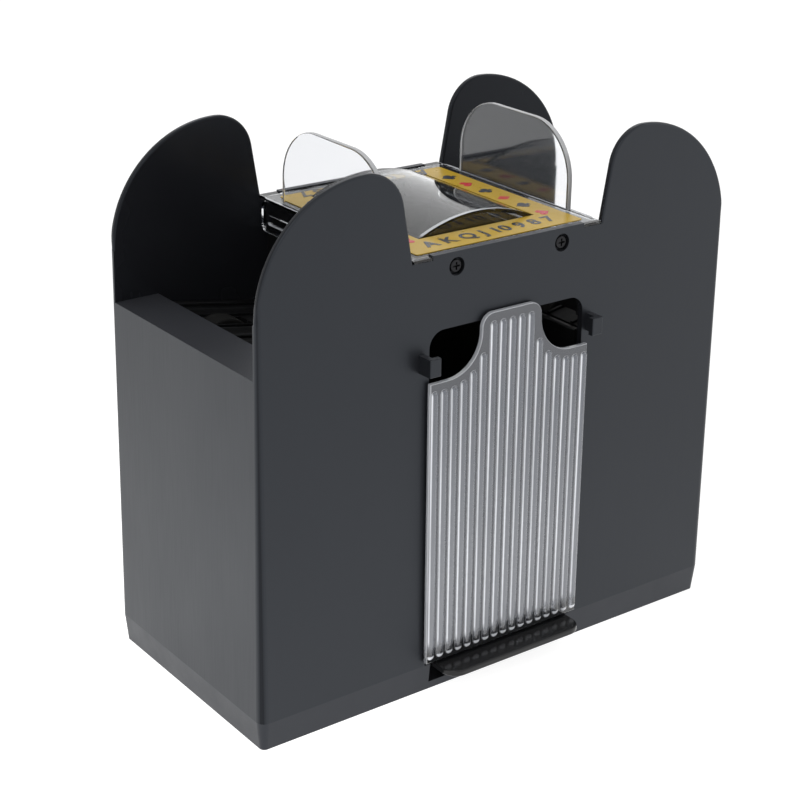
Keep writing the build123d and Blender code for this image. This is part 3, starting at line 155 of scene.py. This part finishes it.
# ---------------------------------------------------------------------------
# Materials
# ---------------------------------------------------------------------------
class Shader:
    """One node material, built around a Principled BSDF and object coordinates in metres."""

    def __init__(self, name, **fixed):
        self.material = bpy.data.materials.new(name)
        self.material.use_nodes = True
        self.tree = self.material.node_tree
        self.bsdf = self.tree.nodes["Principled BSDF"]
        for socket, value in fixed.items():
            self.bsdf.inputs[socket.replace("_", " ")].default_value = value
        self.place = self.tree.nodes.new("ShaderNodeTexCoord").outputs["Object"]

    def node(self, kind, inputs=(), **settings):
        made = self.tree.nodes.new(kind)
        for key, value in settings.items():
            setattr(made, key, value)
        for key, value in dict(inputs).items():
            if isinstance(value, bpy.types.NodeSocket):
                self.tree.links.new(value, made.inputs[key])
            else:
                made.inputs[key].default_value = value
        return made

    def math(self, operation, a, b=0.0):
        return self.node("ShaderNodeMath", {0: a, 1: b}, operation=operation).outputs[0]

    def product(self, first, *others):
        for other in others:
            first = self.math("MULTIPLY", first, other)
        return first

    def axes(self):
        """The object coordinates, one socket for each of X, Y and Z."""
        return self.node("ShaderNodeSeparateXYZ", {"Vector": self.place}).outputs

    def facing(self, axis):
        """How far the surface faces along an axis, from -1 to 1."""
        normal = self.node("ShaderNodeTexCoord").outputs["Normal"]
        return self.node("ShaderNodeSeparateXYZ", {"Vector": normal}).outputs[axis]

    def lean(self, height):
        """How far a wall of the housing has leant inwards at a height."""
        return self.math("MULTIPLY", self.math("SUBTRACT", height, SEAM_Z), LEAN)

    def noise(self, scale, stretch=(1, 1, 1), detail=3.0):
        place = self.node("ShaderNodeMapping", {"Vector": self.place, "Scale": stretch}).outputs["Vector"]
        inputs = {"Vector": place, "Scale": scale, "Detail": detail, "Roughness": 0.55}
        return self.node("ShaderNodeTexNoise", inputs).outputs["Fac"]

    def remap(self, value, low, high, out_low, out_high):
        inputs = {"Value": value, 1: low, 2: high, 3: out_low, 4: out_high}
        return self.node("ShaderNodeMapRange", inputs, clamp=True).outputs["Result"]

    def mix(self, factor, a, b):
        made = self.node("ShaderNodeMix", data_type="RGBA")
        for key, value in ((0, factor), (6, a), (7, b)):
            if isinstance(value, bpy.types.NodeSocket):
                self.tree.links.new(value, made.inputs[key])
            elif key:
                made.inputs[key].default_value = (*value[:3], 1)
            else:
                made.inputs[key].default_value = value
        return made.outputs[2]

    def drive(self, socket, value):
        self.tree.links.new(value, self.bsdf.inputs[socket])

    def colour(self, factor, a, b):
        self.drive("Base Color", self.mix(factor, a, b))

    def roughness(self, factor, low, high):
        self.drive("Roughness", self.remap(factor, 0.25, 0.75, low, high))

    def bump(self, height, strength, distance):
        inputs = {"Height": height, "Strength": strength, "Distance": distance}
        self.drive("Normal", self.node("ShaderNodeBump", inputs).outputs["Normal"])


def moulded(name, dark, light, rough, grain=900.0, **fixed):
    """Moulded plastic: slight mottling, uneven gloss and a fine grain."""
    shader = Shader(name, **fixed)
    shader.colour(shader.noise(45.0, detail=4), dark, light)
    shader.roughness(shader.noise(130.0, detail=4), *rough)
    shader.bump(shader.noise(grain, detail=2), 0.35, 0.03 * MM)
    return shader.material


SHEEN_TINT = (0.80, 0.88, 1.0, 1)
# Painted light: a lighter grey for the housing's upward-facing ledges, standing in for the light they catch.
LEDGE_PAINTED_LIGHT = (0.026, 0.027, 0.031)


def housing_plastic(name, dark, light):
    """Satin black outside with a fine vertical grain, darker round the rims and inside the walls, with
    painted light: the upward-facing ledges are coloured a lighter grey.
    """
    shader = Shader(name, IOR=1.45, Specular_Tint=SHEEN_TINT)
    axes = shader.axes()
    lean = shader.lean(axes["Z"])
    out_x, out_y = (
        shader.math("SUBTRACT", shader.math("ADD", shader.math("ABSOLUTE", axes[axis]), lean), half)
        for axis, half in (("X", HALF_WIDTH), ("Y", HALF_DEPTH))
    )
    outside = shader.remap(shader.math("MAXIMUM", out_x, out_y), *RIM_BAND, 0.0, 1.0)
    ledge = shader.remap(shader.facing("Z"), 0.9, 0.98, 0.0, 1.0)
    skin = shader.math("MAXIMUM", outside, ledge)
    grain = shader.noise(1.0, (2600, 2600, 45))
    cloud = shader.noise(22.0, (1, 1, 0.5), detail=5)
    # painted light: faces turned up are coloured the lighter ledge grey
    shader.drive("Base Color", shader.mix(ledge, shader.mix(cloud, dark, light), LEDGE_PAINTED_LIGHT))
    broad = shader.remap(cloud, 0.3, 0.7, 0.33, 0.40)
    fine = shader.remap(grain, 0.3, 0.7, -0.03, 0.05)
    satin = shader.math("ADD", broad, fine)
    gloss = shader.remap(cloud, 0.3, 0.7, 0.22, 0.30)
    rough = shader.node("ShaderNodeMix", {0: skin, 2: gloss, 3: satin}, data_type="FLOAT").outputs[0]
    shader.drive("Roughness", rough)
    shader.drive("Specular IOR Level", shader.remap(skin, 0.0, 1.0, 0.2, 0.5))
    shader.bump(shader.product(grain, outside), 0.25, 0.02 * MM)
    return shader.material


def cover_plastic(name):
    """Clear moulding with a painted highlight along the vault's front arc and the plate's long borders,
    where they face up.
    """
    shader = Shader(name, IOR=1.5)
    axes = shader.axes()
    front = shader.remap(axes["Y"], *VAULT_RIM_Y, 1.0, 0.0)
    raised = shader.remap(axes["Z"], *VAULT_RIM_Z, 0.0, 1.0)
    border = shader.remap(shader.math("ABSOLUTE", axes["X"]), *COVER_BORDER_X, 0.0, 1.0)
    upward = shader.remap(shader.facing("Z"), 0.2, 0.5, 0.0, 1.0)
    # painted highlight: along the vault's front arc and the long borders, on faces turned up, the cover
    # turns a light grey
    edge = shader.product(shader.math("MAXIMUM", shader.product(front, raised), border), upward)
    shader.drive("Transmission Weight", shader.remap(edge, 0.0, 1.0, 1.0, 0.4))
    cloud = shader.noise(60.0)
    clear = shader.mix(cloud, (0.95, 0.97, 0.99), (0.97, 0.985, 1.0))
    shader.drive("Base Color", shader.mix(edge, clear, (0.72, 0.74, 0.78)))
    shader.roughness(shader.noise(300.0), 0.01, 0.03)
    shader.bump(shader.noise(60.0, detail=2), 0.04, 0.02 * MM)
    return shader.material


def fin_plastic(name):
    """Clear sheet with a painted highlight on its cut edge: across the sheet it stays clear."""
    shader = Shader(name, IOR=1.5)
    across = shader.math("ABSOLUTE", shader.facing("X"))
    # painted highlight: the cut edge lets less light through and shows its near-white colour
    shader.drive("Transmission Weight", shader.remap(across, 0.55, 0.9, 0.62, 1.0))
    shader.colour(shader.noise(60.0), (0.93, 0.94, 0.97), (0.97, 0.98, 1.0))
    shader.roughness(shader.noise(300.0), 0.02, 0.06)
    shader.bump(shader.noise(120.0, detail=2), 0.1, 0.02 * MM)
    return shader.material


def door_plastic(name):
    """Ribbed translucent plastic: grey ribs with painted highlights on each left flank, foot and outline
    rim, painted lighter low down and darker towards the top, and clear along the bottom.
    """
    shader = Shader(name, IOR=1.7, Coat_Weight=0.3, Coat_Roughness=0.04)
    axes = shader.axes()
    front = shader.math("SUBTRACT", shader.lean(axes["Z"]), axes["Y"])
    proud = shader.math("SUBTRACT", front, HALF_DEPTH + DOOR_FACE)
    rib = shader.remap(proud, *RIB_RISE, 0.0, 1.0)
    streak = shader.noise(1.0, (420, 420, 14))
    height = shader.math("ADD", axes["Z"], shader.remap(streak, 0.2, 0.8, -CLEAR_BAND_WAVE, CLEAR_BAND_WAVE))

    turns = shader.math("ADD", shader.math("DIVIDE", axes["X"], RIB_PITCH), 40.5)
    offset = shader.math("SUBTRACT", shader.math("FRACT", turns), 0.5)
    # Painted highlights: a bright left flank on each rib, a bright foot at the rib's bottom and a bright rim
    # along the door's outline.
    flank_painted_highlight = shader.product(
        rib,
        shader.remap(offset, *RIB_FLANK_START, 0.0, 1.0),
        shader.remap(offset, *RIB_FLANK_END, 1.0, 0.0),
        shader.remap(streak, 0.25, 0.55, 0.55, 1.0),
        shader.remap(height, *FLANK_END_Z, 0.0, 1.0),
    )
    foot_painted_highlight = shader.product(rib, shader.remap(axes["Z"], *RIB_FOOT_Z, 1.0, 0.0))
    sideways = shader.remap(shader.math("ABSOLUTE", shader.facing("Y")), 0.8, 0.95, 1.0, 0.0)
    rim_painted_highlight = shader.product(sideways, shader.remap(rib, 0.0, 0.3, 1.0, 0.0), 0.5)
    painted_highlights = shader.math("MAXIMUM", shader.math("MAXIMUM", flank_painted_highlight, foot_painted_highlight), rim_painted_highlight)

    milky = shader.remap(height, *CLEAR_BAND_Z, 0.97, 0.5)
    shader.drive("Transmission Weight", shader.product(milky, shader.remap(painted_highlights, 0.0, 1.0, 1.0, 0.3)))
    cloud = shader.noise(38.0, (1, 1, 0.4), detail=4)
    sheet = shader.mix(cloud, (0.075, 0.082, 0.1), (0.10, 0.108, 0.13))
    # Painted shade: the ribs are coloured lighter low on the door and darker towards the top.
    upper = shader.mix(cloud, (0.17, 0.185, 0.22), (0.21, 0.227, 0.265))
    lower = shader.mix(cloud, (0.28, 0.295, 0.33), (0.35, 0.365, 0.40))
    climb = shader.remap(axes["Z"], *DOOR_FADE_Z, 0.0, 1.0)
    body = shader.mix(rib, sheet, shader.mix(climb, lower, upper))
    # the painted highlights are coloured near white
    shader.drive("Base Color", shader.mix(painted_highlights, body, (0.93, 0.95, 1.0)))
    shader.roughness(shader.noise(260.0), 0.06, 0.13)
    shader.bump(streak, 0.12, 0.04 * MM)
    return shader.material


def metal(name, dark, light, rough, stretch=(1, 1, 1)):
    """Bare or plated metal with uneven gloss, brushed where its noise is stretched."""
    shader = Shader(name, Metallic=1.0)
    shader.colour(shader.noise(80.0, detail=4), dark, light)
    shader.roughness(shader.noise(200.0, stretch, detail=4), *rough)
    shader.bump(shader.noise(900.0, stretch), 0.2, 0.01 * MM)
    return shader.material


def rubber(name, dark, light):
    """Dull rubber with a coarse grain."""
    shader = Shader(name, IOR=1.45, Specular_IOR_Level=0.12)
    shader.colour(shader.noise(150.0, detail=5), dark, light)
    shader.roughness(shader.noise(400.0), 0.7, 0.9)
    shader.bump(shader.noise(1600.0, detail=4), 0.6, 0.06 * MM)
    return shader.material


def hopper_bed(name):
    """Dull black floor under the cards with faint painted highlight lines along it, standing in for the
    light caught by its rib tops.
    """
    shader = Shader(name, IOR=1.45, Specular_IOR_Level=0.06)
    axes = shader.axes()
    turns = shader.math("ADD", shader.math("DIVIDE", axes["Y"], BED_LINE_PITCH), 20.0)
    offset = shader.math("SUBTRACT", shader.math("FRACT", turns), 0.5)
    line = shader.remap(shader.math("ABSOLUTE", offset), *BED_LINE_EDGE, 1.0, 0.0)
    # painted highlight: light lines along the floor, broken up by noise
    highlight_patchiness = shader.remap(shader.noise(1.0, (60, 900, 60)), 0.35, 0.6, 0.2, 1.0)
    outboard = shader.remap(shader.math("ABSOLUTE", axes["X"]), *BED_LINE_START_X, 0.0, 1.0)
    rib_line_painted_highlight = shader.product(line, highlight_patchiness, outboard)
    shader.colour(rib_line_painted_highlight, (0.005, 0.0052, 0.0055), (0.035, 0.036, 0.038))
    shader.roughness(shader.noise(260.0), 0.45, 0.6)
    shader.bump(shader.math("ADD", rib_line_painted_highlight, shader.noise(700.0)), 0.2, 0.03 * MM)
    return shader.material


def cell_sleeve(name):
    """Printed sleeve of a dry cell: dark green film, slightly wrinkled."""
    shader = Shader(name, Metallic=0.2, IOR=1.5)
    wrinkle = shader.noise(90.0, (1, 1, 0.3), detail=4)
    shader.colour(wrinkle, (0.02, 0.09, 0.06), (0.03, 0.12, 0.08))
    shader.roughness(shader.noise(250.0), 0.2, 0.35)
    shader.bump(wrinkle, 0.2, 0.05 * MM)
    return shader.material


def gold_print(name):
    """Gold ink, a little uneven."""
    shader = Shader(name, IOR=1.45)
    cloud = shader.noise(35.0, detail=5)
    shader.colour(cloud, (0.38, 0.24, 0.012), (0.48, 0.315, 0.028))
    shader.roughness(shader.noise(300.0), 0.25, 0.4)
    shader.bump(shader.noise(500.0), 0.15, 0.02 * MM)
    return shader.material


# Each finish by name: dark and light colour, the range of its roughness, and the scale of its grain.
MATERIALS = {
    "housing": housing_plastic("housing_satin", (0.0070, 0.0074, 0.0088), (0.0105, 0.0110, 0.0130)),
    "base": moulded(
        "base_satin", (0.010, 0.010, 0.012), (0.014, 0.014, 0.0165), (0.34, 0.44), 1100.0,
        IOR=1.45, Specular_Tint=SHEEN_TINT,
    ),
    "inner": moulded(
        "inner_dull", (0.005, 0.0052, 0.0055), (0.008, 0.008, 0.0085), (0.3, 0.45), 500.0,
        Specular_IOR_Level=0.12,
    ),
    "frame": moulded("frame_matt", (0.01, 0.01, 0.011), (0.017, 0.017, 0.018), (0.4, 0.55)),
    "bar": moulded(
        "bar_gloss", (0.004, 0.004, 0.0045), (0.007, 0.007, 0.0075), (0.12, 0.22), 600.0,
        IOR=1.42,
    ),
    "door": door_plastic("door_milky"),
    "fin": fin_plastic("fin_clear"),
    "cover": cover_plastic("cover_clear"),
    "label": gold_print("label_gold"),
    "ink_dark": moulded("ink_dark", (0.02, 0.024, 0.035), (0.03, 0.035, 0.05), (0.2, 0.35), IOR=1.5),
    "ink_red": moulded("ink_red", (0.42, 0.015, 0.03), (0.52, 0.03, 0.045), (0.2, 0.35), IOR=1.5),
    "bed": hopper_bed("hopper_bed"),
    "tyre": rubber("tyre_rubber", (0.005, 0.005, 0.005), (0.010, 0.010, 0.0095)),
    "pad": rubber("pad_rubber", (0.015, 0.015, 0.015), (0.03, 0.03, 0.03)),
    "acetal": moulded(
        "gear_acetal", (0.68, 0.66, 0.6), (0.78, 0.76, 0.7), (0.35, 0.5),
        Subsurface_Weight=0.1,
    ),
    "steel": metal("ground_steel", (0.42, 0.42, 0.43), (0.6, 0.6, 0.6), (0.25, 0.4), (1, 12, 1)),
    "screw": metal("black_zinc", (0.02, 0.02, 0.022), (0.04, 0.04, 0.042), (0.3, 0.45)),
    "bronze": metal("sintered_bronze", (0.5, 0.32, 0.14), (0.66, 0.44, 0.22), (0.4, 0.6)),
    "nickel": metal("nickel_plate", (0.6, 0.58, 0.54), (0.75, 0.73, 0.69), (0.15, 0.3)),
    "cell": cell_sleeve("cell_sleeve"),
}

# The nodes of each finish. A left and a right node share one name here.
FINISHES = {
    "housing": ["main_housing"],
    "base": ["base_tray", "battery_door"],
    "inner": ["chamber_wall", "card_platform", "gate_frame"],
    "bed": ["hopper_floor"],
    "frame": ["feed_hubs", "pickup_hubs", "battery_box", "start_switch", "gear_plate", "bearing_plate"],
    "bar": ["press_bar"],
    "door": ["front_door"],
    "cover": ["clear_cover"],
    "fin": ["card_guide"],
    "label": ["cover_label"],
    "tyre": ["feed_tyres", "pickup_tyres"],
    "pad": ["rubber_feet", "separator_pads"],
    "acetal": ["feed_gear", "pickup_gear", "idler_gear", "compound_gear"],
    "steel": [
        "motor_can", "motor_rotor", "motor_screws", "gear_pins", "feed_shaft", "pickup_shaft",
        "press_springs",
    ],
    "screw": ["gate_screws", "base_screws"],
    "bronze": ["bushes"],
    "nickel": ["contact_springs", "contact_plates", "door_contacts"],
    "cell": ["c_cells"],
}


def dress_nodes():
    finish_of = {name: finish for finish, names in FINISHES.items() for name in names}
    for name, node in NODES.items():
        plain = name.removeprefix("left_").removeprefix("right_")
        node.data.materials.clear()
        node.data.materials.append(MATERIALS[finish_of[plain]])


# ---------------------------------------------------------------------------
# Print on the cover's label: card suits down the sides, ranks along the ends
# ---------------------------------------------------------------------------
PRINT_HEIGHT = 0.06 * MM
SUIT_SIZE = 2.9 * MM
SUIT_COLUMN = 29.9 * MM
SUIT_SPACING = 10.8 * MM
SUIT_FIRST = 25.7 * MM
SUIT_ROWS = 6
SUIT_ORDER = ("spade", "heart", "club", "diamond")
RED_SUITS = ("heart", "diamond")
RANKS = "A K Q J 10 9 8 7"
RANK_SIZE = 7.8 * MM
RANK_BOLD = 0.26 * MM
WINDOW_FRONT_Y = -28.9 * MM
WINDOW_BACK_Y = 34.3 * MM


def angles(steps):
    return [2 * math.pi * k / steps for k in range(steps)]


def circle(x, y, radius):
    return [(x + radius * math.cos(angle), y + radius * math.sin(angle)) for angle in angles(40)]


def heart(flip=1.0, lift=0.0):
    """Outline of a heart, or upside down the leaf of a spade."""
    points = []
    for t in angles(60):
        x = 16 * math.sin(t) ** 3
        y = 13 * math.cos(t) - 5 * math.cos(2 * t) - 2 * math.cos(3 * t) - math.cos(4 * t)
        points.append((x / 17, flip * y / 17 + lift))
    return points


STEM = [(0, 0.2), (0.34, -1.0), (-0.34, -1.0)]
SUITS = {
    "spade": [heart(-1.0, 0.12), STEM],
    "heart": [heart()],
    "club": [circle(0, 0.45, 0.46), circle(0.45, -0.2, 0.46), circle(-0.45, -0.2, 0.46), STEM],
    "diamond": [[(0, 1.0), (0.78, 0), (0, -1.0), (-0.78, 0)]],
}


def ray_length(shape, direction):
    """How far a ray from the middle travels before it leaves a closed outline."""
    furthest = 0.0
    for (ax, ay), (bx, by) in zip(shape, shape[1:] + shape[:1]):
        across = direction[0] * (by - ay) - direction[1] * (bx - ax)
        if abs(across) < 1e-9:
            continue
        along = (ax * (by - ay) - ay * (bx - ax)) / across
        place = (ax * direction[1] - ay * direction[0]) / across
        if 0 <= place <= 1:
            furthest = max(furthest, along)
    return furthest


def suit_outline(name):
    """Outline of a suit sign: what its shapes cover together, seen from the middle."""
    outline = []
    for angle in angles(180):
        direction = (math.cos(angle), math.sin(angle))
        radius = max(ray_length(shape, direction) for shape in SUITS[name])
        outline.append((radius * direction[0], radius * direction[1]))
    return outline


def add_print(mesh, outline, spot, turn, size, ink):
    """Raised patch of ink with a given outline, on the label."""
    low = [mesh.verts.new((
        spot[0] + size * (x * math.cos(turn) - y * math.sin(turn)),
        spot[1] + size * (x * math.sin(turn) + y * math.cos(turn)),
        spot[2],
    )) for x, y in outline]
    face = mesh.faces.new(low)
    face.material_index = ink
    raised = bmesh.ops.extrude_face_region(mesh, geom=[face])["geom"]
    for part in raised:
        if isinstance(part, bmesh.types.BMVert):
            part.co.z += PRINT_HEIGHT
        if isinstance(part, bmesh.types.BMFace):
            part.material_index = ink
    for edge in face.edges:
        for side in edge.link_faces:
            side.material_index = ink


def place_print(name, mesh, inks, body):
    made = bpy.data.objects.new(name, mesh)
    for ink in inks:
        mesh.materials.append(ink)
    bpy.context.scene.collection.objects.link(made)
    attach(made, body)


def rank_mesh():
    """Mesh of a line of card ranks, centred and lying flat."""
    curve = bpy.data.curves.new("ranks", "FONT")
    curve.body = RANKS
    curve.size = RANK_SIZE
    curve.align_x = "CENTER"
    curve.align_y = "CENTER"
    curve.extrude = PRINT_HEIGHT / 2
    curve.offset = RANK_BOLD
    curve.space_character = 1.05
    writer = bpy.data.objects.new("ranks", curve)
    bpy.context.scene.collection.objects.link(writer)
    mesh = bpy.data.meshes.new_from_object(writer.evaluated_get(bpy.context.evaluated_depsgraph_get()))
    bpy.data.objects.remove(writer)
    return mesh


def print_label():
    low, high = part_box("cover_label")
    top = high[2]
    inks = [MATERIALS["ink_dark"], MATERIALS["ink_red"]]
    signs = bmesh.new()
    outlines = {name: suit_outline(name) for name in SUIT_ORDER}
    for side in (-1, 1):
        for row in range(SUIT_ROWS):
            name = SUIT_ORDER[row % len(SUIT_ORDER)]
            spot = (side * SUIT_COLUMN, SUIT_FIRST - row * SUIT_SPACING, top)
            add_print(signs, outlines[name], spot, side * math.pi / 2, SUIT_SIZE, int(name in RED_SUITS))
    bmesh.ops.recalc_face_normals(signs, faces=signs.faces)
    mesh = bpy.data.meshes.new("suit_signs")
    signs.to_mesh(mesh)
    signs.free()
    place_print("suit_signs", mesh, inks, "top_cover")
    for name, y, turn in (
        ("front_ranks", (low[1] + WINDOW_FRONT_Y) / 2, 0.0),
        ("back_ranks", (high[1] + WINDOW_BACK_Y) / 2, math.pi),
    ):
        mesh = rank_mesh()
        mesh.transform(Matrix.Translation((0, y, top + PRINT_HEIGHT / 2)) @ Matrix.Rotation(turn, 4, "Z"))
        place_print(name, mesh, inks[:1], "top_cover")


def shorten_springs():
    """Gives the springs under the press bar a mesh of their own."""
    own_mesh(NODES["press_springs"])


make_camera()
make_stage()
dress_nodes()
print_label()
shorten_springs()
